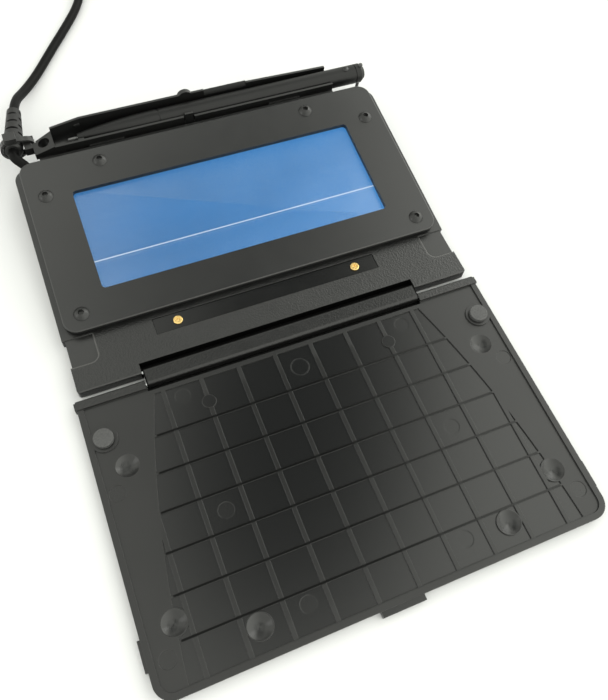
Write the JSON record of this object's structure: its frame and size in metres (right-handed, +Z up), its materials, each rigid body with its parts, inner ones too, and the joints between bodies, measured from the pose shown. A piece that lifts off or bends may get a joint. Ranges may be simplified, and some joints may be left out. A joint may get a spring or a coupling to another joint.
{
  "type": "signature pad",
  "caption": "Counter signature pad with a small blue display, a tethered pen lying in a rear trough, and a hinged cover folded open flat in front of it.",
  "frame": {"origin": "on the desk, under the middle of the pad's body", "axes": "+Z up; +Y away from the person who signs, towards the pen trough; +X to that person's right"},
  "size_m": [0.1566, 0.3928, 0.0199],
  "materials": {
    "grained_black": "fine leather grain",
    "smooth_black": "smooth satin",
    "plain_black": "satin",
    "soft_black": "soft satin",
    "soft_grey": "matte",
    "clear_window": "anti-glare",
    "display": "matte",
    "black_steel": "black oxide, glossy",
    "plain_steel": "satin",
    "screw_brass": "polished",
    "copper_wire": "enamelled",
    "board_green": "solder mask",
    "board_parts": "moulded",
    "white_plastic": "satin",
    "ferrite_grey": "sintered",
    "nib_grey": "polished",
    "tether_string": "braided"
  },
  "bodies": {
    "base": {"base_housing": "grained_black", "bottom_cover": "plain_black", "bottom_screws": "plain_steel", "rubber_feet": "soft_black", "top_plate": "smooth_black", "plate_screws": "black_steel", "screen_frame": "smooth_black", "window_gasket": "soft_black", "window_glass": "clear_window", "lcd_panel": "display", "backlight_panel": "white_plastic", "flex_cable": "board_parts", "sensor_board": "board_green", "controller_board": "board_green", "board_chips": "board_parts", "board_screws": "plain_steel", "cable_header": "white_plastic", "inset_strip": "smooth_black", "strip_screws": "screw_brass", "hinge_pins_base": "plain_steel", "pen_tray": "smooth_black", "tray_screws": "plain_steel", "tether_lead": "tether_string", "tether_coil": "tether_string", "tether_rise": "tether_string", "usb_lead": "soft_black", "usb_strain_relief": "soft_black", "cable_tie": "plain_black", "usb_cable": "soft_black", "usb_cable_coil": "soft_black", "usb_plug_grip": "soft_black", "usb_plug_shell": "plain_steel", "usb_plug_tongue": "white_plastic"},
    "link": {"hinge_link": "grained_black"},
    "cover": {"cover": "grained_black", "cover_bumpers": "soft_grey", "hinge_pins_cover": "plain_steel"},
    "pen": {"pen_nose": "plain_black", "pen_barrel": "plain_black", "pen_tail_cap": "plain_black", "pen_tail_screw": "black_steel", "nib_cushion": "soft_black", "pen_ferrite": "ferrite_grey", "pen_winding": "copper_wire", "pen_board": "board_green", "tether_knot": "tether_string"},
    "nib": {"pen_nib": "nib_grey"}
  },
  "joints": [
    {"name": "link_hinge", "type": "hinge", "parent": "base", "child": "link", "pos_m": [0, -0.04805, 0.0029], "axis": [-1, 0, 0], "range_deg": [0, 97.7]},
    {"name": "cover_hinge", "type": "hinge", "parent": "link", "child": "cover", "pos_m": [0, -0.0528, 0.0029], "axis": [-1, 0, 0], "range_deg": [0, 76.27]},
    {"name": "pen_lift", "type": "slide", "parent": "base", "child": "pen", "axis": [0, 0, 1], "range_m": [0, 0.025]},
    {"name": "nib_press", "type": "slide", "parent": "pen", "child": "nib", "axis": [1, 0, 0], "range_m": [0, 0.0004], "stiffness_N_per_m": 400}
  ]
}
